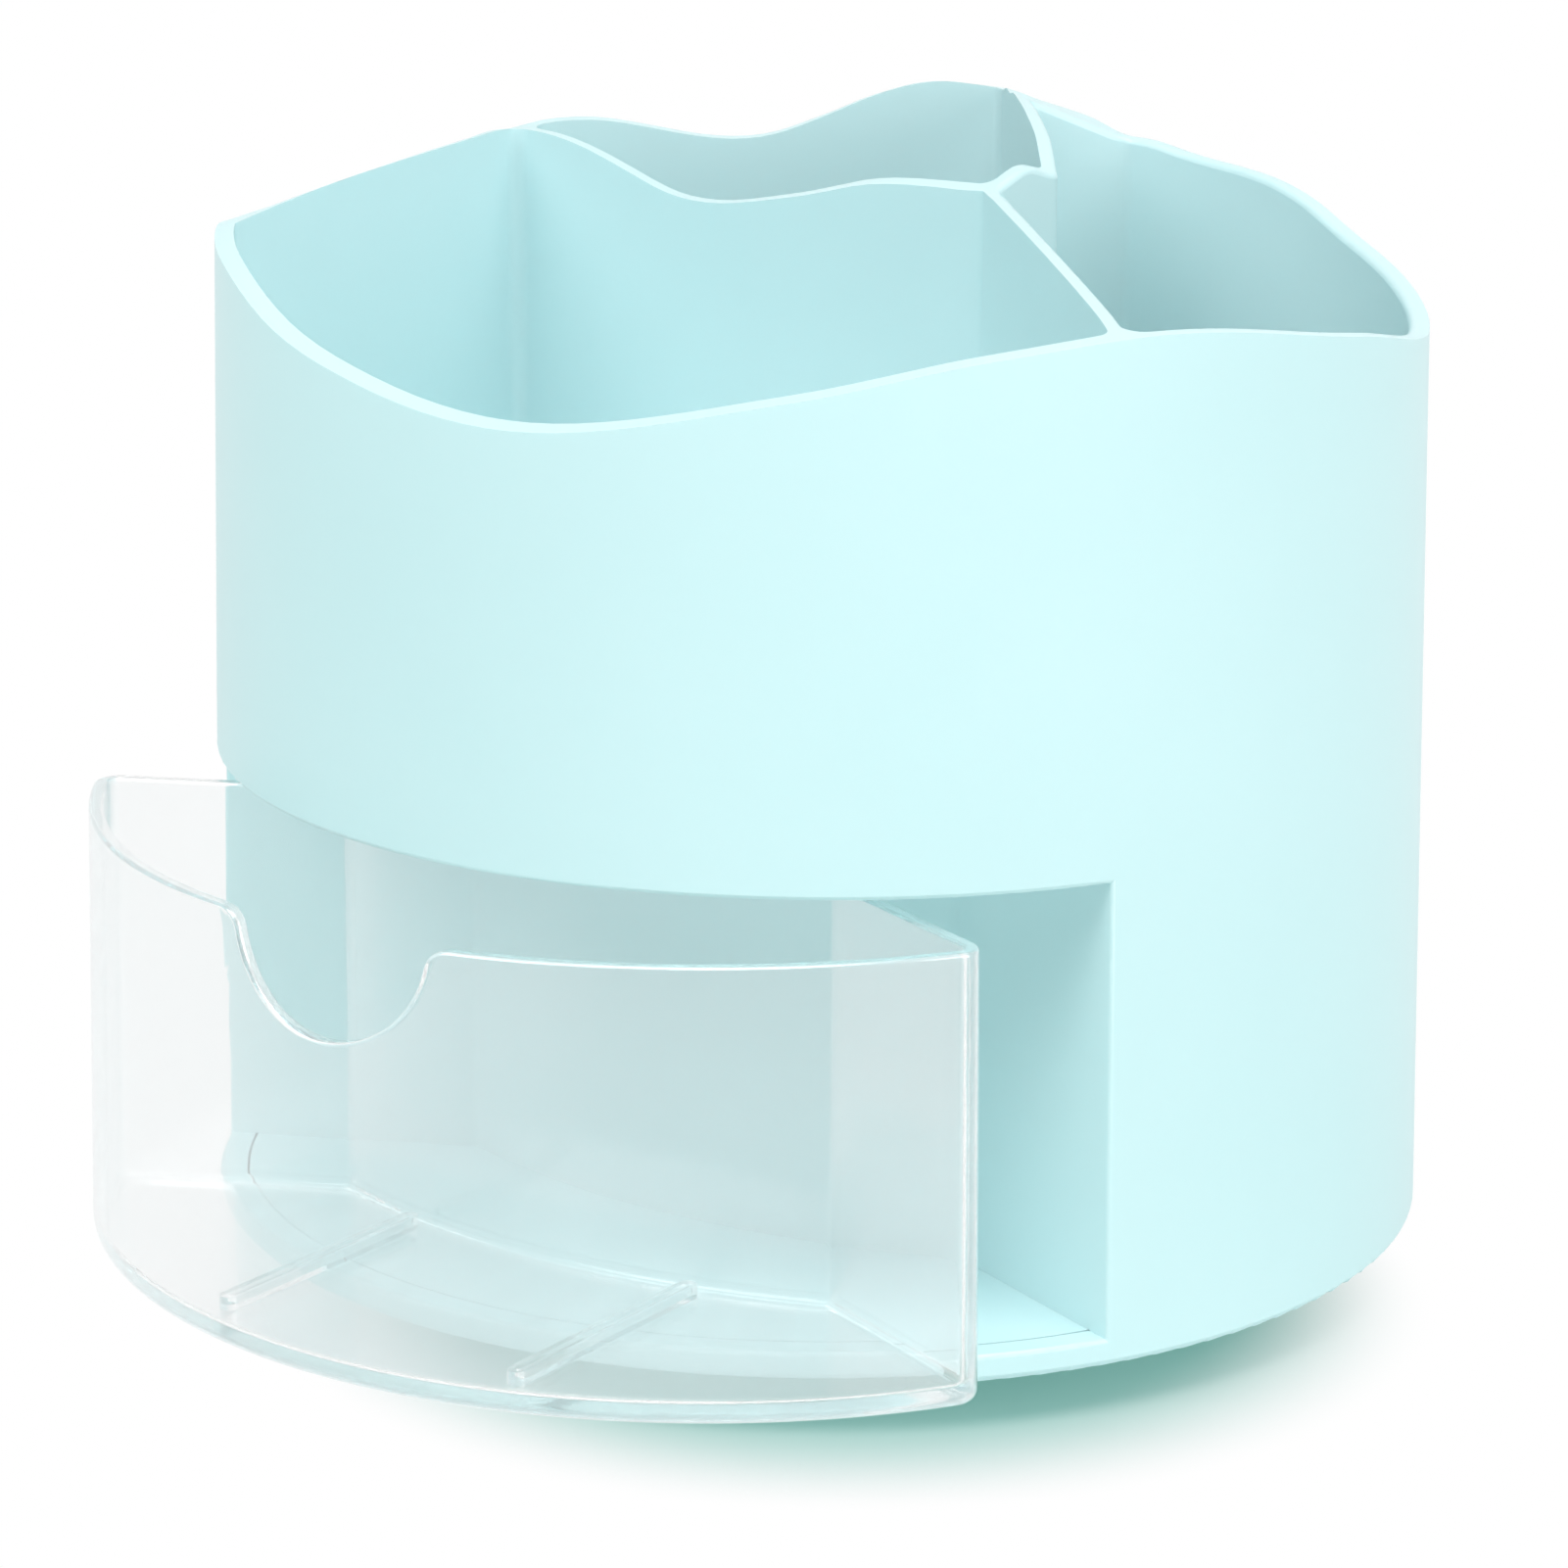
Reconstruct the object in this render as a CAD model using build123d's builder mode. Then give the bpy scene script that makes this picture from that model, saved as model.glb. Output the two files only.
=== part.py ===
from build123d import *
from math import atan2, cos, degrees, hypot, log, radians, sin, tan
import os

import numpy

# Rotating desk organizer, in millimetres. Z points up from the desk, which is z = 0.
# The origin is on the axis that the organizer turns about. The front faces -Y.

# Body moulding
body_lift = 6.0  # gap between the desk and the body's lower edge
lower_radius = 76.0  # outside of the body at its lower edge
outer_draft = 1.0  # degrees, the body narrows upwards
outer_wall = 4.3  # at the lower edge. Its inside is upright, so the draft thins it upwards
partition = 1.8  # thickness of a partition at the rim
partition_into_wall = 1.0  # how far a partition's centre line runs into the outer wall
pocket_draft = 0.3  # degrees, the compartments narrow downwards
lower_edge_fillet = 0.8
rim_fillet = 0.85
pocket_corner_fillet = 2.0
pocket_floor_fillet = 3.0
floor_thickness = 2.2
deep_floor_height = 11.0  # floor of the deep compartments above the body's lower edge
rib_thickness = 1.2
rib_azimuths = [-48, -15, 5, 50, 72, 110]
rib_inner_radius = 46.0
under_wall_growth = 0.4  # partitions under the floors are this much thicker
seat_step = 0.8  # ledge in the outer wall that the bottom cover rests against

# Rim wave: crests and troughs round the outer wall, azimuth in degrees and height above
# the body's lower edge
rim_wave = [
    (-180, 121.8),
    (-166, 120.5),
    (-144, 114.1),
    (-119, 109.6),
    (-92, 114.8),
    (-76, 118.7),
    (-60, 120.4),
    (-34, 116.3),
    (-9, 111.6),
    (20, 115.8),
    (35, 121.0),
    (50, 123.1),
    (77, 129.8),
    (98.5, 121.9),
    (117, 125.5),
    (135, 122.8),
    (157, 119.7),
    (180, 121.8),
]
rim_sampling = 6  # degrees between the places where the wave is taken

# Plan of the partitions: points where they meet, and azimuths where they reach the wall
hub_point = (21.0, 12.8)
knee_point = (28.7, 21.5)
front_azimuth = -63.4
back_azimuth = 69.6
left_azimuth = 124.2
side_azimuth = -178.4
post_start_fraction = 0.23  # of the back partition, from the wall
post_end_azimuth = 55.4

# Rims of the partitions: fraction of the length from the wall (or first point), and height
front_rim = [(0.0, 120.6), (0.15, 121.6), (1.0, 124.5)]
back_rim = [(0.0, 129.2), (0.4, 130.3), (0.8, 128.9), (1.0, 125.2)]
left_rim = [(0.0, 125.3), (0.14, 124.0), (0.41, 118.3), (0.58, 120.1), (0.82, 124.1), (1.0, 124.4)]
knee_rim = [(0.0, 124.4), (0.33, 126.0), (0.58, 126.5), (1.0, 125.2)]
side_rim = [(0.0, 121.9), (0.35, 123.6), (0.73, 124.65), (1.0, 125.2)]
post_rim = [(0.0, 129.4), (0.15, 128.9), (0.6, 126.1), (1.0, 123.7)]
rims_sampled = 10  # places taken along each partition
surface_steps = 48  # places across the rim surface, each way
surface_tolerance = 0.02

# Narrow slot between the side partition and the outer wall
slot_half_angle = 19.556  # degrees round the axis, from the slot's middle to its end
slot_corner_fillet = 1.0

# Drawer bay
bay_azimuth = -124.0  # the way the drawer slides out
bay_half_angle = 60.0  # the opening's edges, each side of that way
bay_side_angle = 65.0  # the bay's side walls against that way
bay_height = 58.0  # top of the opening above the body's lower edge
lip_height = 3.3  # bay floor and lip above the body's lower edge
bay_back_depth = 30.6  # from the body's axis to the middle of the bay's back wall
bay_back_radius = 99.3
bay_wall = 1.8
bay_corner_fillet = 2.5
opening_edge_fillet = 0.5

# Drawer
drawer_pulled = 24.0  # how far out it stands in the rest position
drawer_clearance = 0.8
drawer_height = 53.0
drawer_wall = 1.8
drawer_floor = 2.0
drawer_front_fillet = 3.2
drawer_back_fillet = 2.5
drawer_bottom_fillet = 1.6
drawer_inner_fillet = 1.0
drawer_rim_fillet = 0.5
notch_radius = 13.3
notch_centre_rise = 0.6  # centre of the thumb notch above the drawer's rim
notch_shoulder_fillet = 3.0
rib_offset = 20.6  # floor ribs, each side of the drawer's middle
rib_back_gap = 2.2  # from the bay's back wall, and from the outer wall's line
rib_front_gap = 8.0
rib_width = 2.4
rib_height = 1.6
rib_groove = 0.8

# Bottom cover
cover_clearance = 0.3
cover_thickness = 2.0
cover_skirt = 2.0
cover_rib_depth = 0.9
cover_rib_count = 12
cover_rib_gap = 1.0  # the ribs end short of the cover's edge by half of this
collar_radius = 12.0
collar_depth = 2.0

# Turntable
base_radius = 52.0
base_plate_bottom = 2.4
base_plate_top = 4.4
base_skirt_bottom = 1.2
base_skirt_width = 1.8
base_rib_count = 10
hub_radius = 8.0
hub_running_clearance = 0.08
washer_play = 0.15
ball_radius = 1.5
ball_count = 18
ball_pitch_radius = 38.0
ball_centre_height = 5.2
groove_clearance = 0.05
race_half_width = 4.0
race_gap = 0.8  # between a ball's centre and each race face
cage_half_width = 3.8
cage_thickness = 1.0
cage_hole_clearance = 0.1
washer_radius = 13.0
washer_thickness = 1.0
pivot_shank_radius = 1.75
pivot_length = 6.0
pivot_tip_gap = 0.5  # between the screw's tip and the bottom of its hole
pivot_head_radius = 3.8
pivot_head_height = 2.2
screw_clearance = 0.05
cross_length = 4.2  # cross recess in the pivot screw's head
cross_width = 0.9
cross_depth = 1.2

# Feet
foot_count = 5
foot_radius = 6.0
foot_height = 2.4
foot_inset = 9.0  # from the base's edge to a foot's middle
foot_edge_fillet = 0.4
foot_pocket_clearance = 0.05
foot_pad_wall = 1.5

# Cover screws
screw_azimuths = [-38, 30, 92, 152]
screw_inset = 9.7  # from the outer wall's inside to a screw's middle
screw_shank_radius = 1.3
screw_head_radius = 2.6
screw_length = 8.0
boss_radius = 3.3
tall_boss_height = 18.0

# Reach of the forms that cut, past what they cut, and how closely an edge's place is told
far_reach = 2.0  # lengths of a partition
post_reach = 6.0  # lengths of the corner post's face
stock_over_rim = 15.0
stock_past_wall = 10.0
cut_through = 1.0
same_place = 0.01
upright_angle = 25.0  # degrees, the most that an edge leans to count as upright

os.makedirs("parts", exist_ok=True)

# Heights and places worked out from the sizes above
inner_radius = lower_radius - outer_wall
slot_half_length = inner_radius * sin(radians(slot_half_angle))
screw_pitch_radius = inner_radius - screw_inset
foot_pitch_radius = base_radius - foot_inset
rib_start = bay_back_depth + rib_back_gap
rib_end = lower_radius - rib_front_gap
cover_top = body_lift + lip_height
cover_bottom = cover_top - cover_thickness
bay_top = body_lift + bay_height
main_floor_top = bay_top + floor_thickness
deep_floor_top = body_lift + deep_floor_height
deep_floor_bottom = deep_floor_top - floor_thickness
stock_top = body_lift + max(height for _, height in rim_wave) + stock_over_rim
stock_height = stock_top - body_lift
drawer_top = cover_top + drawer_height
bay_frame = Plane.XY.rotated((0, 0, bay_azimuth))
opening_edge_x = lower_radius * cos(radians(bay_half_angle))
opening_edge_y = lower_radius * sin(radians(bay_half_angle))
wedge_start = opening_edge_x - opening_edge_y / tan(radians(bay_side_angle))
bay_back_centre = bay_back_depth - bay_back_radius
beyond_wall = lower_radius + stock_past_wall
seat_radius = inner_radius + seat_step


def at_azimuth(azimuth, radius):
    """Point on a circle round the turning axis."""
    return (radius * cos(radians(azimuth)), radius * sin(radians(azimuth)))


def along(start, end, fraction):
    """Point part of the way from start to end."""
    return (
        start[0] + fraction * (end[0] - start[0]),
        start[1] + fraction * (end[1] - start[1]),
    )


def station_slope(stations, index):
    """Slope of a wave at a station: level on a crest or in a trough, else between its neighbours'."""
    rises = [(b[1] - a[1]) / (b[0] - a[0]) for a, b in zip(stations, stations[1:])]
    if index == 0 or index == len(rises):
        return rises[min(index, len(rises) - 1)]
    before, after = rises[index - 1], rises[index]
    return 2 * before * after / (before + after) if before * after > 0 else 0.0


def wave_height(stations, place):
    """Height of a smooth wave through stations of place and height."""
    index = max(n for n, (start, _) in enumerate(stations[:-1]) if start <= place)
    (low, low_height), (high, high_height) = stations[index], stations[index + 1]
    span = high - low
    turn = (place - low) / span
    blend = turn * turn * (3 - 2 * turn)
    leave = span * station_slope(stations, index) * turn * (1 - turn) ** 2
    arrive = span * station_slope(stations, index + 1) * turn * turn * (1 - turn)
    return low_height + (high_height - low_height) * blend + leave - arrive


def outer_radius_at(height):
    """Outside radius of the body at a height above the desk."""
    return lower_radius - (height - body_lift) * tan(radians(outer_draft))


def body_cone(inset=0.0):
    """The body's outer form as a solid cone, drawn in by inset."""
    with BuildPart(mode=Mode.PRIVATE) as cone:
        with BuildSketch(Plane.XZ):
            with BuildLine():
                Polyline(
                    (0, body_lift),
                    (lower_radius - inset, body_lift),
                    (outer_radius_at(stock_top) - inset, stock_top),
                    (0, stock_top),
                    close=True,
                )
            make_face()
        revolve(axis=Axis.Z)
    return cone.part


# Partition centre lines
rim_radius = outer_radius_at(body_lift + rim_wave[0][1]) - partition / 2
wall_point_radius = inner_radius + partition_into_wall
front_wall_point = at_azimuth(front_azimuth, wall_point_radius)
back_wall_point = at_azimuth(back_azimuth, wall_point_radius)
left_wall_point = at_azimuth(left_azimuth, wall_point_radius)
side_wall_point = at_azimuth(side_azimuth, wall_point_radius)
post_start = along(back_wall_point, knee_point, post_start_fraction)
post_end = at_azimuth(post_end_azimuth, wall_point_radius)
partition_rims = [
    (front_wall_point, hub_point, front_rim),
    (back_wall_point, knee_point, back_rim),
    (left_wall_point, hub_point, left_rim),
    (hub_point, knee_point, knee_rim),
    (side_wall_point, left_wall_point, side_rim),
    (post_start, post_end, post_rim),
]

# Stations that the rim surface passes through
stations = []
for azimuth in range(-180, 180, rim_sampling):
    x, y = at_azimuth(azimuth, rim_radius)
    stations.append((x, y, body_lift + wave_height(rim_wave, azimuth)))
for start, end, rim in partition_rims:
    for step in range(rims_sampled):
        fraction = (step + 0.5) / rims_sampled
        x, y = along(start, end, fraction)
        stations.append((x, y, body_lift + wave_height(rim, fraction)))


def bending(distance):
    """How a thin plate bends at a distance from a support."""
    return distance**2 * log(distance) if distance > 0 else 0.0


# Heights of a thin plate bent through the stations
count = len(stations)
system = numpy.zeros((count + 3, count + 3))
for row, (x, y, _) in enumerate(stations):
    for column, (other_x, other_y, _) in enumerate(stations):
        system[row, column] = bending(hypot(x - other_x, y - other_y))
    system[row, count:] = (1, x, y)
    system[count:, row] = (1, x, y)
targets = [height for _, _, height in stations] + [0, 0, 0]
weights = numpy.linalg.solve(system, targets)


def rim_height(x, y):
    """Height above the desk of the rim surface."""
    height = weights[count] + weights[count + 1] * x + weights[count + 2] * y
    for weight, (station_x, station_y, _) in zip(weights, stations):
        height += weight * bending(hypot(x - station_x, y - station_y))
    return height


# Everything above the rim surface, to trim the body with
surface_pitch = 2 * beyond_wall / surface_steps
surface_places = [step * surface_pitch - beyond_wall for step in range(surface_steps + 1)]
rim_points = [[Vector(x, y, rim_height(x, y)) for x in surface_places] for y in surface_places]
rim_surface = Face.make_surface_from_array_of_points(
    rim_points, tol=surface_tolerance, min_deg=3
)
above_rim = Solid.extrude(rim_surface, Vector(0, 0, stock_height))


# Corners of the compartments on the partitions' centre lines, ending outside the wall
front_far = along(hub_point, front_wall_point, far_reach)
left_far = along(hub_point, left_wall_point, far_reach)
back_far = along(knee_point, back_wall_point, far_reach)
side_far = along(left_wall_point, side_wall_point, far_reach)
post_far = along(post_start, post_end, post_reach)
main_corners = [front_far, hub_point, left_wall_point, side_far, (side_far[0], front_far[1])]
back_corners = [hub_point, knee_point, back_far, left_far]
right_corners = [
    front_far,
    hub_point,
    knee_point,
    post_start,
    post_far,
    (post_far[0], front_far[1]),
]


def pocket(corners, floor_top):
    """The space of one compartment, with its corners and floor edge rounded."""
    with BuildPart(mode=Mode.PRIVATE) as space:
        with BuildSketch(Plane.XY.offset(stock_top)) as outline:
            Polygon(*corners, align=None)
            offset(amount=-partition / 2, kind=Kind.INTERSECTION)
            Circle(inner_radius, mode=Mode.INTERSECT)
            fillet(outline.vertices(), pocket_corner_fillet)
        extrude(amount=-(stock_top - floor_top), taper=pocket_draft)
        fillet(space.faces().sort_by(Axis.Z)[0].edges(), pocket_floor_fillet)
    return space.part


main_pocket = pocket(main_corners, main_floor_top)
back_pocket = pocket(back_corners, deep_floor_top)
right_pocket = pocket(right_corners, deep_floor_top)

# The slot is a slice of the circle beyond the side partition
side_run = (left_wall_point[0] - side_wall_point[0], left_wall_point[1] - side_wall_point[1])
side_angle = degrees(atan2(side_run[1], side_run[0]))
side_middle_distance = hypot(*along(side_wall_point, left_wall_point, 0.5))
slot_face_distance = side_middle_distance + partition / 2
slot_depth = beyond_wall - slot_face_distance
with BuildPart() as slot_pocket:
    with BuildSketch(Plane.XY.offset(stock_top)) as slot_outline:
        Circle(inner_radius)
        with Locations(at_azimuth(side_angle + 90, slot_face_distance + slot_depth / 2)):
            Rectangle(2 * slot_half_length, slot_depth, rotation=side_angle, mode=Mode.INTERSECT)
        fillet(slot_outline.vertices(), slot_corner_fillet)
    extrude(amount=-(stock_top - deep_floor_top), taper=pocket_draft)


def bay_outline(grow=0.0):
    """Plan of the drawer bay in its own frame, sliding way along +X, grown by grow."""
    side_shift = grow / sin(radians(bay_side_angle))
    reach = 2 * beyond_wall
    rise = reach * tan(radians(bay_side_angle))
    with BuildSketch(mode=Mode.PRIVATE) as outline:
        Circle(beyond_wall)
        with Locations((wedge_start - side_shift, 0)):
            Polygon((0, 0), (reach, rise), (reach, -rise), align=None, mode=Mode.INTERSECT)
        with Locations((bay_back_centre, 0)):
            Circle(bay_back_radius - grow, mode=Mode.SUBTRACT)
    return outline.sketch


def bay_space(grow, bottom, top, corner):
    """The bay's space, or a form that follows it, between two heights."""
    with BuildPart(mode=Mode.PRIVATE) as space:
        with BuildSketch(bay_frame.offset(bottom)):
            add(bay_outline(grow))
        extrude(amount=top - bottom)
        back_edges = space.edges().filter_by(Axis.Z).sort_by(SortBy.DISTANCE)[:2]
        fillet(back_edges, corner)
    return space.part


rib_length = inner_radius + partition_into_wall - rib_inner_radius
rib_middle_radius = (inner_radius + rib_inner_radius) / 2

# Space under the main compartment's floor, round the drawer bay's walls
with BuildPart() as underfloor:
    with BuildSketch(Plane.XY.offset(cover_top)) as underfloor_outline:
        Polygon(*main_corners, align=None)
        offset(amount=-(partition + under_wall_growth) / 2, kind=Kind.INTERSECTION)
        Circle(inner_radius, mode=Mode.INTERSECT)
        fillet(underfloor_outline.vertices(), pocket_corner_fillet)
    extrude(amount=bay_top - cover_top)
    add(bay_space(bay_wall, body_lift, stock_top, bay_corner_fillet + bay_wall), mode=Mode.SUBTRACT)


def on_outer_wall(edge):
    """Whether both ends and the middle of an edge lie on the body's outside."""
    points = [edge.position_at(place) for place in (0.0, 0.5, 1.0)]
    return all(abs(hypot(p.X, p.Y) - outer_radius_at(p.Z)) < 5 * same_place for p in points)


def lip_top_edge(edge):
    """Whether an edge runs along the top or the bottom of the drawer's opening."""
    middle = edge.position_at(0.5).Z
    level = min(abs(middle - bay_top), abs(middle - cover_top)) < same_place
    return level and on_outer_wall(edge)


def opening_side_edge(edge):
    """Whether an edge runs up one side of the drawer's opening."""
    low, high = sorted((edge.position_at(0.0).Z, edge.position_at(1.0).Z))
    upright = abs(low - cover_top) < same_place and abs(high - bay_top) < same_place
    return upright and on_outer_wall(edge)


# Body: outer wall, wavy rim, compartments, drawer bay and the bosses for the cover screws
with BuildPart() as body:
    add(body_cone())
    add(above_rim, mode=Mode.SUBTRACT)
    add(main_pocket, mode=Mode.SUBTRACT)
    add(back_pocket, mode=Mode.SUBTRACT)
    add(right_pocket, mode=Mode.SUBTRACT)
    add(slot_pocket.part, mode=Mode.SUBTRACT)
    rim_face = body.faces().filter_by(GeomType.BSPLINE).sort_by(SortBy.AREA)[-1]
    fillet(rim_face.edges(), rim_fillet)
    fillet(body.faces().sort_by(Axis.Z)[0].outer_wire().edges(), lower_edge_fillet)

    # Seat for the bottom cover
    with BuildSketch(Plane.XY.offset(body_lift)):
        Circle(seat_radius)
    extrude(amount=lip_height, mode=Mode.SUBTRACT)

    # Hollows under the floors
    add(underfloor.part, mode=Mode.SUBTRACT)
    for corners in (back_corners, right_corners):
        with BuildSketch(Plane.XY.offset(cover_top)) as hollow:
            Polygon(*corners, align=None)
            offset(amount=-(partition + under_wall_growth) / 2, kind=Kind.INTERSECTION)
            Circle(inner_radius, mode=Mode.INTERSECT)
            fillet(hollow.vertices(), pocket_corner_fillet)
        extrude(amount=deep_floor_bottom - cover_top, mode=Mode.SUBTRACT)

    # Bosses and stiffening ribs in the hollows, down to the cover
    with BuildSketch(Plane.XY.offset(cover_top)):
        for azimuth in screw_azimuths:
            with Locations(at_azimuth(azimuth, screw_pitch_radius)):
                Circle(boss_radius)
        for azimuth in rib_azimuths:
            with Locations(at_azimuth(azimuth, rib_middle_radius)):
                Rectangle(rib_length, rib_thickness, rotation=azimuth)
    extrude(amount=deep_floor_bottom - cover_top)
    with BuildSketch(Plane.XY.offset(cover_top)):
        with Locations(at_azimuth(screw_azimuths[-1], screw_pitch_radius)):
            Circle(boss_radius)
    extrude(amount=tall_boss_height)
    for azimuth in screw_azimuths:
        boss_mouth = at_azimuth(azimuth, screw_pitch_radius) + (cover_top,)
        with Locations(Plane(boss_mouth, z_dir=(0, 0, -1))):
            Hole(screw_shank_radius + screw_clearance, depth=screw_length - cover_thickness)

    # Drawer bay, open through the outer wall
    add(bay_space(0.0, cover_top, bay_top, bay_corner_fillet), mode=Mode.SUBTRACT)
    opening_edges = [edge for edge in body.edges() if lip_top_edge(edge) or opening_side_edge(edge)]
    fillet(opening_edges, opening_edge_fillet)
body.part.label = "body"
export_step(body.part, "parts/body.step")


def upright_edges(form):
    """The edges that run up a form, from the nearest to the turning axis outwards."""
    least_rise = cos(radians(upright_angle))
    upright = [edge for edge in form.edges() if abs(edge.tangent_at(0.5).Z) > least_rise]
    return sorted(upright, key=lambda edge: hypot(edge.center().X, edge.center().Y))


def drawer_form(inset, bottom, top, front_radius, back_radius, bottom_radius):
    """Solid with the drawer's outline drawn in by inset, its corners rounded."""
    cone = body_cone(inset)
    with BuildPart(mode=Mode.PRIVATE) as form:
        with BuildSketch(bay_frame.offset(bottom)):
            add(bay_outline(-(drawer_clearance + inset)))
        extrude(amount=top - bottom)
        add(cone, mode=Mode.INTERSECT)
        fillet(upright_edges(form)[:2], back_radius)
        fillet(upright_edges(form)[-2:], front_radius)
        fillet(form.faces().sort_by(Axis.Z)[0].edges(), bottom_radius)
    return form.part


slide = (cos(radians(bay_azimuth)), sin(radians(bay_azimuth)))
notch_frame = Plane(
    origin=(0, 0, drawer_top + notch_centre_rise), x_dir=(-slide[1], slide[0], 0), z_dir=(*slide, 0)
)
notch_start = bay_back_depth + (lower_radius - bay_back_depth) / 2
drawer_floor_top = cover_top + drawer_floor
rib_middle = (rib_start + rib_end) / 2
rib_places = [(rib_middle, rib_offset), (rib_middle, -rib_offset)]

# Drawer: clear tray, closed place first, then pulled out to the rest position
with BuildPart() as drawer:
    add(
        drawer_form(
            0.0,
            cover_top,
            drawer_top,
            drawer_front_fillet,
            drawer_back_fillet,
            drawer_bottom_fillet,
        )
    )
    add(
        drawer_form(
            drawer_wall,
            drawer_floor_top,
            drawer_top + cut_through,
            drawer_front_fillet - drawer_wall,
            drawer_back_fillet - drawer_wall,
            drawer_inner_fillet,
        ),
        mode=Mode.SUBTRACT,
    )
    with BuildSketch(notch_frame.offset(notch_start)):
        Circle(notch_radius)
    extrude(amount=beyond_wall - notch_start, mode=Mode.SUBTRACT)
    notch_shoulders = [
        edge
        for edge in drawer.edges().filter_by(GeomType.LINE)
        if abs(edge.center().Z - drawer_top) < same_place and edge.length < 2 * drawer_wall
    ]
    fillet(notch_shoulders, notch_shoulder_fillet)
    top_face = drawer.faces().filter_by(GeomType.PLANE).sort_by(Axis.Z)[-1]
    fillet(top_face.edges(), drawer_rim_fillet)

    # Two grooved ribs on the floor, along the way the drawer slides
    with BuildSketch(bay_frame.offset(drawer_floor_top)):
        with Locations(rib_places):
            SlotOverall(rib_end - rib_start, rib_width)
    extrude(amount=rib_height)
    with BuildSketch(bay_frame.offset(drawer_floor_top + rib_height)):
        with Locations(rib_places):
            SlotOverall(rib_end - rib_start - rib_width, rib_groove)
    extrude(amount=-rib_height / 2, mode=Mode.SUBTRACT)
drawer_open = drawer.part.moved(Location((drawer_pulled * slide[0], drawer_pulled * slide[1], 0)))
drawer_open.label = "drawer"
export_step(drawer_open, "parts/drawer.step")

# Bottom cover: closes the body and carries the upper ball race
cover_radius = seat_radius - cover_clearance
hub_bore_radius = hub_radius + hub_running_clearance
groove_radius = ball_radius + groove_clearance
upper_race_face = ball_centre_height + race_gap


def ball_groove():
    """Ring that a ball sweeps, a little larger than the ball."""
    with BuildPart(mode=Mode.PRIVATE) as groove:
        with BuildSketch(Plane.XZ):
            with Locations((ball_pitch_radius, ball_centre_height)):
                Circle(groove_radius)
        revolve(axis=Axis.Z)
    return groove.part


with BuildPart() as bottom_cover:
    with BuildSketch(Plane.XY.offset(cover_bottom)):
        Circle(cover_radius)
    extrude(amount=cover_thickness)

    # Ribs, race ring, centre collar and outer skirt on the underside
    with BuildSketch(Plane.XY.offset(cover_bottom)):
        with PolarLocations((collar_radius + cover_radius) / 2, cover_rib_count):
            Rectangle(cover_radius - collar_radius - cover_rib_gap, rib_thickness)
    extrude(amount=-cover_rib_depth)
    with BuildSketch(Plane.XY.offset(cover_bottom)):
        Circle(ball_pitch_radius + race_half_width)
        Circle(ball_pitch_radius - race_half_width, mode=Mode.SUBTRACT)
    extrude(amount=-(cover_bottom - upper_race_face))
    with BuildSketch(Plane.XY.offset(cover_bottom)):
        Circle(cover_radius)
        Circle(cover_radius - cover_skirt, mode=Mode.SUBTRACT)
    extrude(amount=-(cover_bottom - body_lift))
    with BuildSketch(Plane.XY.offset(cover_bottom)):
        Circle(collar_radius)
    extrude(amount=-collar_depth)
    add(ball_groove(), mode=Mode.SUBTRACT)
    with Locations((0, 0, cover_top)):
        Hole(hub_bore_radius)
    for azimuth in screw_azimuths:
        spot = at_azimuth(azimuth, screw_pitch_radius)
        with BuildSketch(Plane.XY.offset(cover_bottom)):
            with Locations(spot):
                Circle(boss_radius + rib_thickness)
        extrude(amount=-cover_rib_depth)
        with Locations(Plane((*spot, cover_bottom - cover_rib_depth), z_dir=(0, 0, -1))):
            CounterSinkHole(
                screw_shank_radius + screw_clearance,
                screw_head_radius + screw_clearance,
                counter_sink_angle=90,
            )
bottom_cover.part.label = "bottom_cover"
export_step(bottom_cover.part, "parts/bottom_cover.step")

# Turntable base: stands on the desk, with the lower ball race and the pivot hub
hub_top = cover_top + washer_play
base_inner_radius = base_radius - base_skirt_width
base_rib_length = base_inner_radius - hub_radius + rib_thickness
base_rib_middle = (hub_radius + base_inner_radius) / 2
with BuildPart() as turntable_base:
    with BuildSketch(Plane.XY.offset(base_plate_bottom)):
        Circle(base_radius)
    extrude(amount=base_plate_top - base_plate_bottom)
    with BuildSketch(Plane.XY.offset(base_plate_top)):
        Circle(hub_radius)
    extrude(amount=hub_top - base_plate_top)

    # Skirt, ribs, foot pads and hub ring on the underside
    with BuildSketch(Plane.XY.offset(base_plate_bottom)):
        Circle(base_radius)
        Circle(base_inner_radius, mode=Mode.SUBTRACT)
        Circle(hub_radius)
        with PolarLocations(foot_pitch_radius, foot_count, start_angle=90):
            Circle(foot_radius + foot_pad_wall)
        with PolarLocations(base_rib_middle, base_rib_count, start_angle=90):
            Rectangle(base_rib_length, rib_thickness)
    extrude(amount=-(base_plate_bottom - base_skirt_bottom))
    with BuildSketch(Plane.XY.offset(base_skirt_bottom)):
        with PolarLocations(foot_pitch_radius, foot_count, start_angle=90):
            Circle(foot_radius + foot_pocket_clearance)
        Circle(foot_radius + foot_pocket_clearance)
    extrude(amount=base_plate_bottom - base_skirt_bottom, mode=Mode.SUBTRACT)
    add(ball_groove(), mode=Mode.SUBTRACT)
    with Locations((0, 0, hub_top)):
        Hole(pivot_shank_radius + screw_clearance, depth=pivot_length)
turntable_base.part.label = "turntable_base"
export_step(turntable_base.part, "parts/turntable_base.step")

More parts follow.
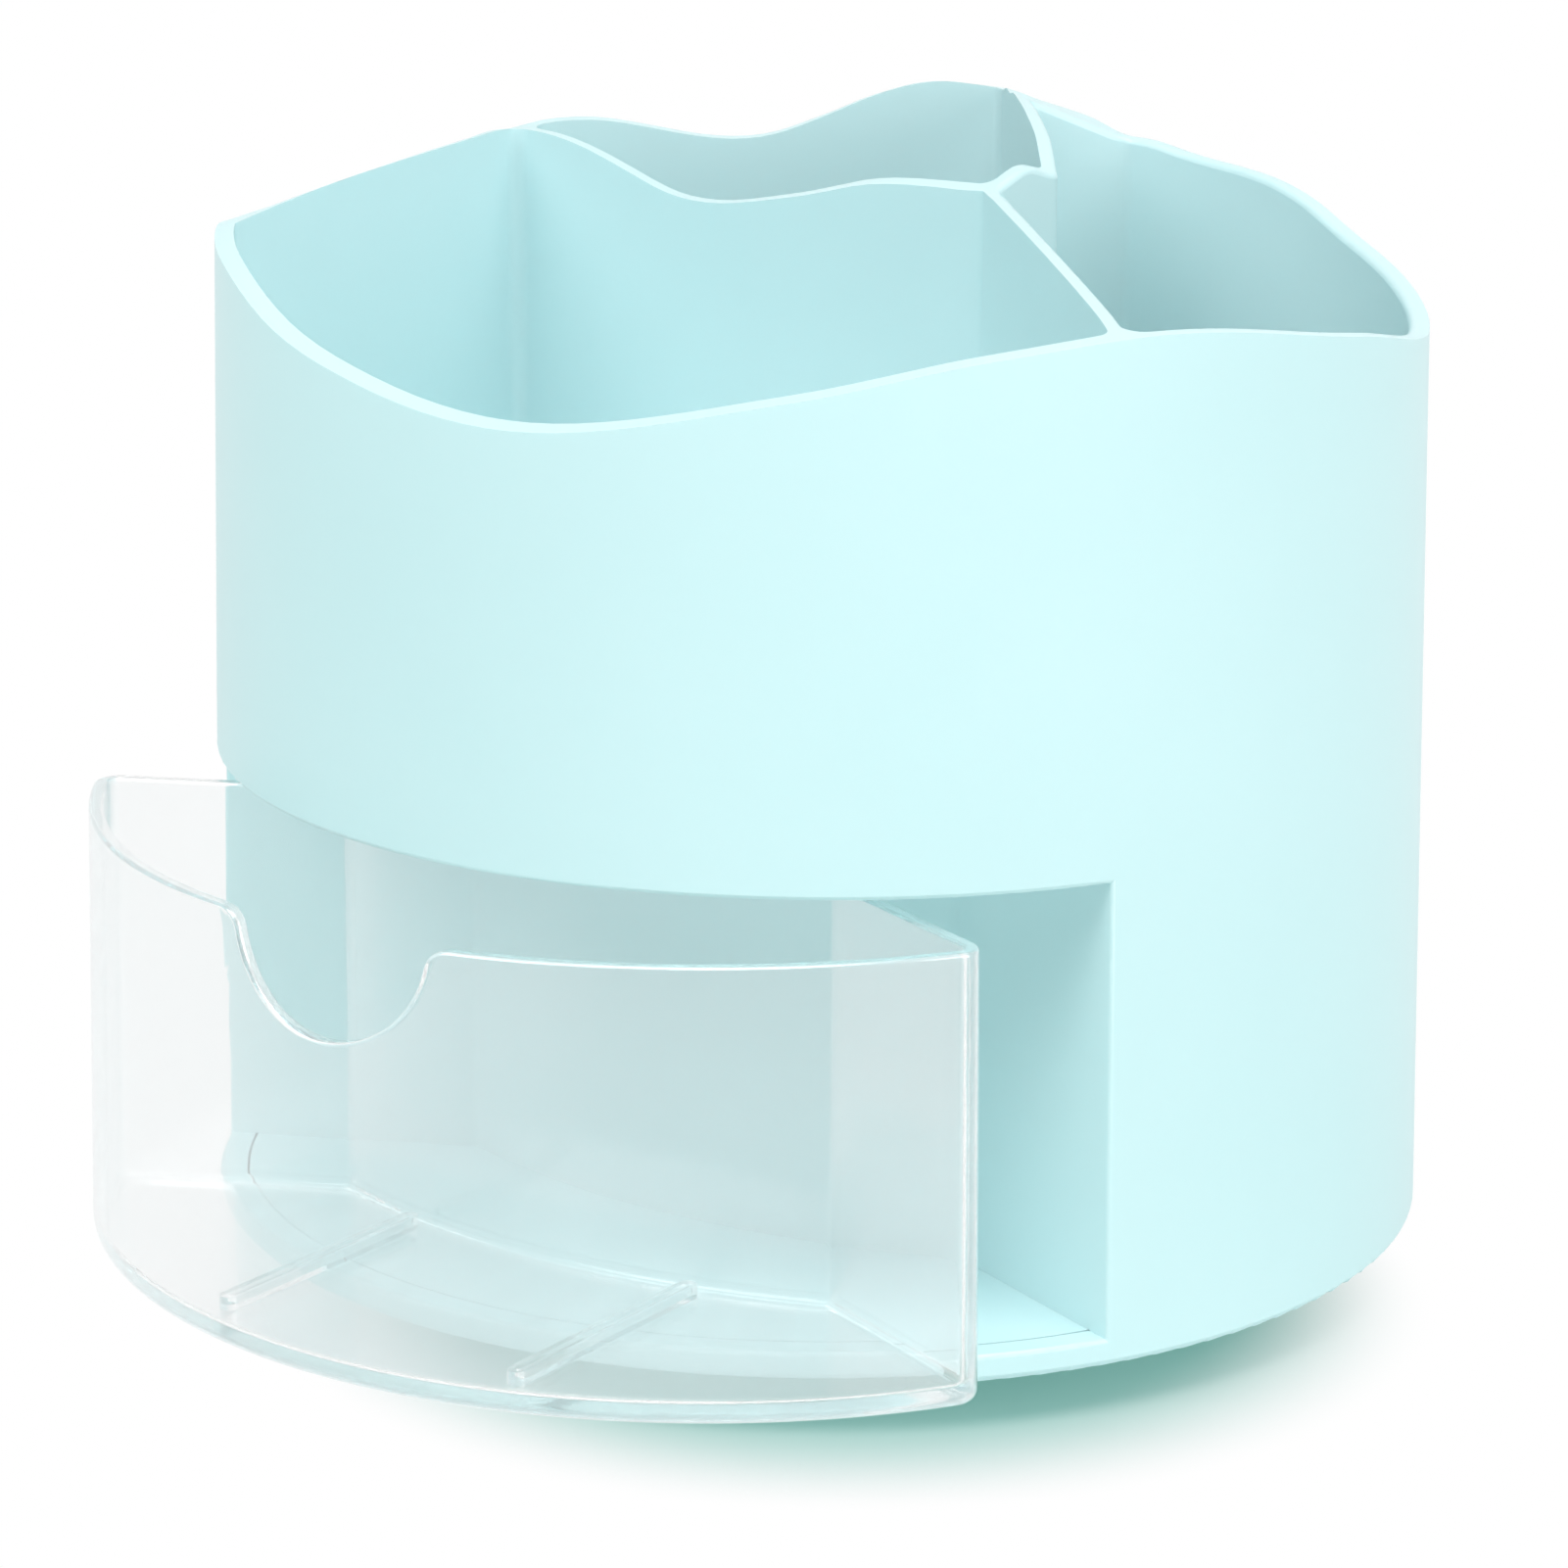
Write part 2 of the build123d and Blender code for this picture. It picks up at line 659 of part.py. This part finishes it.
# Ball cage: flat ring with a hole for each ball
with BuildPart() as ball_cage:
    with BuildSketch(Plane.XY.offset(ball_centre_height - cage_thickness / 2)):
        Circle(ball_pitch_radius + cage_half_width)
        Circle(ball_pitch_radius - cage_half_width, mode=Mode.SUBTRACT)
        with PolarLocations(ball_pitch_radius, ball_count):
            Circle(ball_radius + cage_hole_clearance, mode=Mode.SUBTRACT)
    extrude(amount=cage_thickness)
ball_cage.part.label = "ball_cage"
export_step(ball_cage.part, "parts/ball_cage.step")

# Bearing balls
with BuildPart() as bearing_balls:
    with Locations((0, 0, ball_centre_height)):
        with PolarLocations(ball_pitch_radius, ball_count):
            Sphere(ball_radius)
bearing_balls.part.label = "bearing_balls"
export_step(bearing_balls.part, "parts/bearing_balls.step")

# Pivot washer and screw on top of the hub
with BuildPart() as pivot_washer:
    with BuildSketch(Plane.XY.offset(hub_top)):
        Circle(washer_radius)
        Circle(pivot_shank_radius + screw_clearance, mode=Mode.SUBTRACT)
    extrude(amount=washer_thickness)
pivot_washer.part.label = "pivot_washer"
export_step(pivot_washer.part, "parts/pivot_washer.step")

screw_seat = hub_top + washer_thickness
with BuildPart() as pivot_screw:
    with BuildSketch(Plane.XY.offset(screw_seat)):
        Circle(pivot_head_radius)
    extrude(amount=pivot_head_height)
    fillet(pivot_screw.faces().sort_by(Axis.Z)[-1].edges(), pivot_head_height / 2)
    with BuildSketch(Plane.XY.offset(screw_seat)):
        Circle(pivot_shank_radius)
    extrude(amount=-(washer_thickness + pivot_length - pivot_tip_gap))
    chamfer(pivot_screw.faces().sort_by(Axis.Z)[0].edges(), pivot_shank_radius / 2)
    with BuildSketch(Plane.XY.offset(screw_seat + pivot_head_height)):
        Rectangle(cross_length, cross_width)
        Rectangle(cross_width, cross_length)
    extrude(amount=-cross_depth, mode=Mode.SUBTRACT)
pivot_screw.part.label = "pivot_screw"
export_step(pivot_screw.part, "parts/pivot_screw.step")

# Cover screws: countersunk, driven up from below
head_face = cover_bottom - cover_rib_depth
head_height = screw_head_radius - screw_shank_radius
with BuildPart() as cover_screw:
    with BuildSketch(Plane.XZ):
        with BuildLine():
            Polyline(
                (0, head_face),
                (screw_head_radius, head_face),
                (screw_shank_radius, head_face + head_height),
                (screw_shank_radius, head_face + screw_length - screw_shank_radius),
                (0, head_face + screw_length),
                close=True,
            )
        make_face()
    revolve(axis=Axis.Z)
with BuildPart() as cover_screws:
    with Locations(*[at_azimuth(azimuth, screw_pitch_radius) for azimuth in screw_azimuths]):
        add(cover_screw.part)
cover_screws.part.label = "cover_screws"
export_step(cover_screws.part, "parts/cover_screws.step")

# Rubber feet, each in its pocket under the base: a ring of them, and one under the hub
foot_places = [at_azimuth(90 + 360 / foot_count * n, foot_pitch_radius) for n in range(foot_count)]
foot_places.append((0, 0))
for number, foot_place in enumerate(foot_places):
    with BuildPart() as foot:
        with BuildSketch(Plane.XY):
            with Locations(foot_place):
                Circle(foot_radius)
        extrude(amount=foot_height)
        fillet(foot.faces().sort_by(Axis.Z)[0].edges(), foot_edge_fillet)
    foot.part.label = f"foot_{number + 1}"
    export_step(foot.part, f"parts/foot_{number + 1}.step")
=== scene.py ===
import bpy
from math import cos, radians, sin
from mathutils import Matrix, Vector

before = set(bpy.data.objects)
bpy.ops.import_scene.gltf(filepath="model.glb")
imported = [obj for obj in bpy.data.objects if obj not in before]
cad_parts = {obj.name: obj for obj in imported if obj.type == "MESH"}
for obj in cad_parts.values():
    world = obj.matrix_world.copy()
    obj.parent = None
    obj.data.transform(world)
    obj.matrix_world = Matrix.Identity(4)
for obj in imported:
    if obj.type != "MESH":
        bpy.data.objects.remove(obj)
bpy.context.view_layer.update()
print("frame loaded:", len(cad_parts), "nodes")


# The sRGB curve, from a screen's hex colour to the linear colour of light
def hexToLinear(text):
    channels = []
    for start in (0, 2, 4):
        value = int(text[start:start + 2], 16) / 255
        channels.append(value / 12.92 if value <= 0.04045 else ((value + 0.055) / 1.055) ** 2.4)
    return (*channels, 1.0)


# One node with its settings and its links: values and links are keyed by socket name or number
def addNode(tree, kind, settings=None, values=None, links=None):
    node = tree.nodes.new(kind)
    for name, value in (settings or {}).items():
        setattr(node, name, value)
    for socket, value in (values or {}).items():
        node.inputs[socket].default_value = value
    for socket, source in (links or {}).items():
        tree.links.new(source, node.inputs[socket])
    return node


def newMaterial(name):
    material = bpy.data.materials.new(name)
    material.use_nodes = True
    material.node_tree.nodes.clear()
    return material, material.node_tree


# 1 where the set is seen, mirrored or seen through the drawer, 0 where it only gives light
def seenShare(tree):
    rays = addNode(tree, "ShaderNodeLightPath")
    seenOrMirrored = addNode(tree, "ShaderNodeMath", {"operation": "MAXIMUM"},
                             links={0: rays.outputs["Is Camera Ray"], 1: rays.outputs["Is Glossy Ray"]})
    seen = addNode(tree, "ShaderNodeMath", {"operation": "MAXIMUM"},
                   links={0: seenOrMirrored.outputs[0], 1: rays.outputs["Is Transmission Ray"]})
    return seen.outputs[0]


# Injection-moulded polystyrene in mint. It gives an even satin sheen with a faint orange peel,
# and light that soaks in a little at the thin rims. Sizes here and below are in metres.
mintLook = {
    "colour": "DAF1F3",
    "flowColour": "D7EFF1",  # slightly deeper where the melt flowed and packed
    "flowSize": 0.055,  # from one cloud of the flow to the next
    "flowRange": (0.35, 0.65),  # stretch of the noise over which one colour turns to the other
    "roughness": (0.30, 0.36),
    "ior": 1.55,
    "peelSize": 0.0016,  # orange peel of the polished steel mould
    "peelDetail": 1.0,
    "peelHeight": 0.000004,
    "softShare": 0.12,
    "softDepth": 0.0012,
    "softTint": (0.8, 1.0, 1.0),  # red light soaks in less deep
}


def makeMintPlastic():
    look = mintLook
    material, tree = newMaterial("mintPolystyreneMoulded")
    place = addNode(tree, "ShaderNodeTexCoord").outputs["Object"]
    flow = addNode(tree, "ShaderNodeTexNoise", values={"Scale": 1 / look["flowSize"]},
                   links={"Vector": place})
    flowStart, flowEnd = look["flowRange"]
    flowShare = addNode(tree, "ShaderNodeMapRange", values={"From Min": flowStart, "From Max": flowEnd},
                        links={"Value": flow.outputs["Fac"]})
    colour = addNode(tree, "ShaderNodeMix", {"data_type": "RGBA"},
                     {6: hexToLinear(look["colour"]), 7: hexToLinear(look["flowColour"])},
                     {0: flowShare.outputs["Result"]})
    smoothest, dullest = look["roughness"]
    rough = addNode(tree, "ShaderNodeMapRange", values={"To Min": smoothest, "To Max": dullest},
                    links={"Value": flow.outputs["Fac"]})
    peel = addNode(tree, "ShaderNodeTexNoise",
                   values={"Scale": 1 / look["peelSize"], "Detail": look["peelDetail"]},
                   links={"Vector": place})
    bump = addNode(tree, "ShaderNodeBump", values={"Distance": look["peelHeight"]},
                   links={"Height": peel.outputs["Fac"]})
    shader = addNode(tree, "ShaderNodeBsdfPrincipled",
                     values={"IOR": look["ior"], "Subsurface Weight": look["softShare"],
                             "Subsurface Radius": look["softTint"], "Subsurface Scale": look["softDepth"]},
                     links={"Base Color": colour.outputs[2], "Roughness": rough.outputs["Result"],
                            "Normal": bump.outputs["Normal"]})
    addNode(tree, "ShaderNodeOutputMaterial", links={"Surface": shader.outputs["BSDF"]})
    return material


# Injection-moulded clear polystyrene with polished walls. It gives bright bent edges, a thin white
# veil that thickens towards the rims, and faint waves in what is seen through it. The lamps' light
# passes straight through, as it does through the real thin wall.
clearLook = {
    "colour": "FEFFFF",
    "roughness": 0.02,
    "ior": 1.5,
    "waveSize": 0.02,  # slow waves that the wall keeps as it cools
    "waveDetail": 0.0,
    "waveHeight": 0.000001,
    "veilColour": "FFFFFF",
    "veilRoughness": 0.25,
    "veilMilk": 0.1,  # share of the veil that lets light through instead of mirroring it
    "veilHeadOn": 0.05,  # share of the veil where a wall is seen head on
    "veilNearest": 0.13,  # more of it on the nearest wall, which mirrors the white set
    "veilGrazing": 0.95,  # share where a wall is seen edge on
    "veilRise": 1.8,  # how late it thickens on the way from head on to edge on
    "wallsPassed": 0.5,  # a ray that has passed fewer walls than this sees the nearest one
    "mirroringsKept": 1.5,  # light mirrored more often than this between the faces leaves straight
}


def makeClearPlastic():
    look = clearLook
    material, tree = newMaterial("clearPolystyreneMoulded")
    place = addNode(tree, "ShaderNodeTexCoord").outputs["Object"]
    waves = addNode(tree, "ShaderNodeTexNoise",
                    values={"Scale": 1 / look["waveSize"], "Detail": look["waveDetail"]},
                    links={"Vector": place})
    bump = addNode(tree, "ShaderNodeBump", values={"Distance": look["waveHeight"]},
                   links={"Height": waves.outputs["Fac"]})
    glass = addNode(tree, "ShaderNodeBsdfPrincipled",
                    values={"Base Color": hexToLinear(look["colour"]), "Roughness": look["roughness"],
                            "IOR": look["ior"], "Transmission Weight": 1.0},
                    links={"Normal": bump.outputs["Normal"]})
    # The veil: mostly mirroring, partly milky
    mirroring = addNode(tree, "ShaderNodeBsdfAnisotropic",
                        values={"Color": hexToLinear(look["veilColour"]),
                                "Roughness": look["veilRoughness"]})
    milky = addNode(tree, "ShaderNodeBsdfTranslucent", values={"Color": hexToLinear(look["veilColour"])})
    veil = addNode(tree, "ShaderNodeMixShader", values={0: look["veilMilk"]},
                   links={1: mirroring.outputs["BSDF"], 2: milky.outputs["BSDF"]})
    # Its share: least head on, more on the nearest wall, most edge on
    facing = addNode(tree, "ShaderNodeLayerWeight")
    rise = addNode(tree, "ShaderNodeMath", {"operation": "POWER"}, {1: look["veilRise"]},
                   {0: facing.outputs["Facing"]})
    rays = addNode(tree, "ShaderNodeLightPath")
    nearest = addNode(tree, "ShaderNodeMath", {"operation": "LESS_THAN"}, {1: look["wallsPassed"]},
                      {0: rays.outputs["Transmission Depth"]})
    headOn = addNode(tree, "ShaderNodeMath", {"operation": "MULTIPLY_ADD"},
                     {1: look["veilNearest"], 2: look["veilHeadOn"]}, {0: nearest.outputs[0]})
    veilShare = addNode(tree, "ShaderNodeMapRange", values={"To Max": look["veilGrazing"]},
                        links={"Value": rise.outputs[0], "To Min": headOn.outputs[0]})
    veiled = addNode(tree, "ShaderNodeMixShader",
                     links={0: veilShare.outputs["Result"], 1: glass.outputs["BSDF"],
                            2: veil.outputs["Shader"]})
    # Light on its way to the mint walls, and light caught between the faces, goes straight on
    lighting = addNode(tree, "ShaderNodeMath", {"operation": "MAXIMUM"},
                       links={0: rays.outputs["Is Shadow Ray"], 1: rays.outputs["Is Diffuse Ray"]})
    caught = addNode(tree, "ShaderNodeMath", {"operation": "GREATER_THAN"}, {1: look["mirroringsKept"]},
                     {0: rays.outputs["Glossy Depth"]})
    straight = addNode(tree, "ShaderNodeMath", {"operation": "MAXIMUM"},
                       links={0: lighting.outputs[0], 1: caught.outputs[0]})
    passed = addNode(tree, "ShaderNodeBsdfTransparent", values={"Color": hexToLinear(look["colour"])})
    wall = addNode(tree, "ShaderNodeMixShader",
                   links={0: straight.outputs[0], 1: veiled.outputs["Shader"], 2: passed.outputs["BSDF"]})
    addNode(tree, "ShaderNodeOutputMaterial", links={"Surface": wall.outputs["Shader"]})
    return material


# Finishes of the turntable and the screws, with a grain in the colour and the sheen
turntableLooks = {
    "basePolystyreneMoulded": {  # white high-impact polystyrene: dull with a fine spark-eroded grain
        "colour": "E9EDED", "grainColour": "E3E8E8", "roughness": 0.5, "own": {"IOR": 1.55},
        "grainSize": 0.0009, "grainHeight": 0.00002},
    "cageNylonMoulded": {  # natural nylon: milky, slightly waxy
        "colour": "E8E4D8", "grainColour": "E1DCCE", "roughness": 0.42, "own": {"IOR": 1.53},
        "grainSize": 0.004, "grainHeight": 0.00001},
    "footRubberMoulded": {  # grey synthetic rubber: matt, with a dusty bloom
        "colour": "3A3D3D", "grainColour": "4A4D4D", "roughness": 0.78, "own": {"IOR": 1.52},
        "grainSize": 0.0012, "grainHeight": 0.00003},
    "screwSteelZincPlated": {  # zinc-plated steel: bright grey with cloudy passivation
        "colour": "C4C6C8", "grainColour": "B2B6BB", "roughness": 0.3, "own": {"Metallic": 1.0},
        "grainSize": 0.002, "grainHeight": 0.000004},
    "ballSteelLapped": {  # lapped chrome steel: a clean mirror with hardly a mark
        "colour": "D3D5D6", "grainColour": "CDD0D2", "roughness": 0.08, "own": {"Metallic": 1.0},
        "grainSize": 0.001, "grainHeight": 0.000001},
}
grainDetail = 3.0
grainSheen = 0.15  # share by which the grain moves the roughness up and down


def makeTurntableFinish(name):
    look = turntableLooks[name]
    material, tree = newMaterial(name)
    place = addNode(tree, "ShaderNodeTexCoord").outputs["Object"]
    grain = addNode(tree, "ShaderNodeTexNoise",
                    values={"Scale": 1 / look["grainSize"], "Detail": grainDetail},
                    links={"Vector": place})
    colour = addNode(tree, "ShaderNodeMix", {"data_type": "RGBA"},
                     {6: hexToLinear(look["colour"]), 7: hexToLinear(look["grainColour"])},
                     {0: grain.outputs["Fac"]})
    rough = addNode(tree, "ShaderNodeMapRange",
                    values={"To Min": look["roughness"] * (1 - grainSheen),
                            "To Max": look["roughness"] * (1 + grainSheen)},
                    links={"Value": grain.outputs["Fac"]})
    bump = addNode(tree, "ShaderNodeBump", values={"Distance": look["grainHeight"]},
                   links={"Height": grain.outputs["Fac"]})
    shader = addNode(tree, "ShaderNodeBsdfPrincipled", values=look["own"],
                     links={"Base Color": colour.outputs[2], "Roughness": rough.outputs["Result"],
                            "Normal": bump.outputs["Normal"]})
    addNode(tree, "ShaderNodeOutputMaterial", links={"Surface": shader.outputs["BSDF"]})
    return material


mint = makeMintPlastic()
clear = makeClearPlastic()
finishes = {name: makeTurntableFinish(name) for name in turntableLooks}
nodeFinish = {
    "body": mint,
    "bottom_cover": mint,
    "drawer": clear,
    "turntable_base": finishes["basePolystyreneMoulded"],
    "ball_cage": finishes["cageNylonMoulded"],
    "bearing_balls": finishes["ballSteelLapped"],
    "pivot_washer": finishes["screwSteelZincPlated"],
    "pivot_screw": finishes["screwSteelZincPlated"],
    "cover_screws": finishes["screwSteelZincPlated"],
}
for name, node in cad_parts.items():
    finish = finishes["footRubberMoulded"] if name.startswith("foot_") else nodeFinish[name]
    for slot in node.material_slots:
        slot.material = finish
print("finishes given to the moulded and metal parts")


# Camera: where it looks, from how far, and how it is tilted and rolled
cameraSetup = {
    "target": (-0.00435, 0.0, 0.05712),
    "distance": 0.6761,
    "downDegrees": 15.27,
    "rollDegrees": 0.307,
    "lens": 123.62,
    "clipEnd": 50,  # well past the floor's far edge
}


def makeCamera():
    setup = cameraSetup
    down = radians(setup["downDegrees"])
    roll = radians(setup["rollDegrees"])
    back = Vector((0, -cos(down), sin(down)))
    levelUp = Vector((0, sin(down), cos(down)))
    levelRight = Vector((1, 0, 0))
    right = levelRight * cos(roll) + levelUp * sin(roll)
    up = levelUp * cos(roll) - levelRight * sin(roll)
    turn = Matrix((right, up, back)).transposed().to_4x4()
    place = Matrix.Translation(Vector(setup["target"]) + back * setup["distance"])
    camera = bpy.data.objects.new("camera", bpy.data.cameras.new("camera"))
    camera.data.lens = setup["lens"]
    camera.data.clip_end = setup["clipEnd"]
    camera.matrix_world = place @ turn
    bpy.context.scene.collection.objects.link(camera)
    bpy.context.scene.camera = camera


makeCamera()
print("camera placed")

# Soft boxes: place, size in metres, watts and what they aim at
softBoxes = {
    "keySoftbox": {"place": (1.65, -1.05, 0.75), "size": 1.2, "watts": 15, "aim": (0, 0, 0.06)},
    "sideSoftbox": {"place": (-1.15, -0.95, 1.4), "size": 1.2, "watts": 14.2, "aim": (0, 0, 0.08)},
    "topSoftbox": {"place": (0.0, -0.65, 1.95), "size": 1.0, "watts": 12.2, "aim": (0, 0, 0.08)},
    "rimSoftbox": {"place": (0.05, -0.3, 0.62), "size": 0.3, "watts": 0.65, "aim": (0.03, 0.04, 0.11)},
}


def placeSoftBox(name, box):
    light = bpy.data.lights.new(name, "AREA")
    light.size = box["size"]
    light.energy = box["watts"]
    holder = bpy.data.objects.new(name, light)
    holder.location = box["place"]
    aim = Vector(box["aim"]) - holder.location
    holder.rotation_euler = aim.to_track_quat("-Z", "Y").to_euler()
    bpy.context.scene.collection.objects.link(holder)


for name, box in softBoxes.items():
    placeSoftBox(name, box)
print("soft boxes placed")

# World: plain white where it is seen, dimmer and mint as a light, as in a pale set round the organizer
worldLight = {
    "seenColour": "FFFFFF",
    "seenStrength": 1.0,
    "colour": "C4EEF0",
    "strength": 0.41,
}


def makeWorld():
    light = worldLight
    world = bpy.data.worlds.new("studio")
    world.use_nodes = True
    tree = world.node_tree
    tree.nodes.clear()
    seen = seenShare(tree)
    strength = addNode(tree, "ShaderNodeMapRange",
                       values={"To Min": light["strength"], "To Max": light["seenStrength"]},
                       links={"Value": seen})
    colour = addNode(tree, "ShaderNodeMix", {"data_type": "RGBA"},
                     {6: hexToLinear(light["colour"]), 7: hexToLinear(light["seenColour"])}, {0: seen})
    sky = addNode(tree, "ShaderNodeBackground",
                  links={"Color": colour.outputs[2], "Strength": strength.outputs["Result"]})
    addNode(tree, "ShaderNodeOutputWorld", links={"Surface": sky.outputs["Background"]})
    bpy.context.scene.world = world


# Floor of matt rolled paper: it keeps the shadow round the foot and in front of it, and turns to plain
# white further out. Near the foot, where it is seen, it wears painted shade (a darker paper colour) and a
# painted green glow
floorSetup = {
    "size": 10.0,
    "colour": "E8EFED",  # as it throws light back
    "paintedShadeColour": "949896",  # painted shade: the darker colour the floor is seen in, which deepens its shadow
    "paintedGlowColour": "90DBCF",  # painted green glow in the shadow, standing in for light falling through the plastic
    "paintedGlow": 0.43,
    "shadowMiddle": (0.004, -0.026, 0.0),
    "whiteFrom": 0.045,  # from the shadow's middle, where white begins
    "whiteTo": 0.072,  # and where it is all white
}


def makeFloorPaper():
    setup = floorSetup
    material, tree = newMaterial("backdropPaperRolled")
    place = addNode(tree, "ShaderNodeTexCoord").outputs["Object"]
    distance = addNode(tree, "ShaderNodeVectorMath", {"operation": "DISTANCE"},
                       {1: setup["shadowMiddle"]}, {0: place})
    farShare = addNode(tree, "ShaderNodeMapRange", {"interpolation_type": "SMOOTHSTEP"},
                       {"From Min": setup["whiteFrom"], "From Max": setup["whiteTo"]},
                       {"Value": distance.outputs["Value"]})
    seen = seenShare(tree)
    colour = addNode(tree, "ShaderNodeMix", {"data_type": "RGBA"},
                     {6: hexToLinear(setup["colour"]), 7: hexToLinear(setup["paintedShadeColour"])}, {0: seen})
    paper = addNode(tree, "ShaderNodeBsdfDiffuse", links={"Color": colour.outputs[2]})
    # Painted green glow: an emission on the floor where it is seen
    paintedGlow = addNode(tree, "ShaderNodeMath", {"operation": "MULTIPLY"}, {1: setup["paintedGlow"]}, {0: seen})
    glow = addNode(tree, "ShaderNodeEmission", values={"Color": hexToLinear(setup["paintedGlowColour"])},
                   links={"Strength": paintedGlow.outputs[0]})
    near = addNode(tree, "ShaderNodeAddShader",
                   links={0: paper.outputs["BSDF"], 1: glow.outputs["Emission"]})
    white = addNode(tree, "ShaderNodeEmission")
    whiteShare = addNode(tree, "ShaderNodeMath", {"operation": "MULTIPLY"},
                         links={0: farShare.outputs["Result"], 1: seen})
    sheet = addNode(tree, "ShaderNodeMixShader",
                    links={0: whiteShare.outputs[0], 1: near.outputs["Shader"],
                           2: white.outputs["Emission"]})
    addNode(tree, "ShaderNodeOutputMaterial", links={"Surface": sheet.outputs["Shader"]})
    return material


makeWorld()
bpy.ops.object.select_all(action="DESELECT")
bpy.ops.mesh.primitive_plane_add(size=floorSetup["size"], location=(0, 0, 0))
floor = bpy.context.object
floor.name = "floor"
floor.data.materials.append(makeFloorPaper())
bpy.context.scene.view_settings.view_transform = "Standard"
print("world and floor in place")
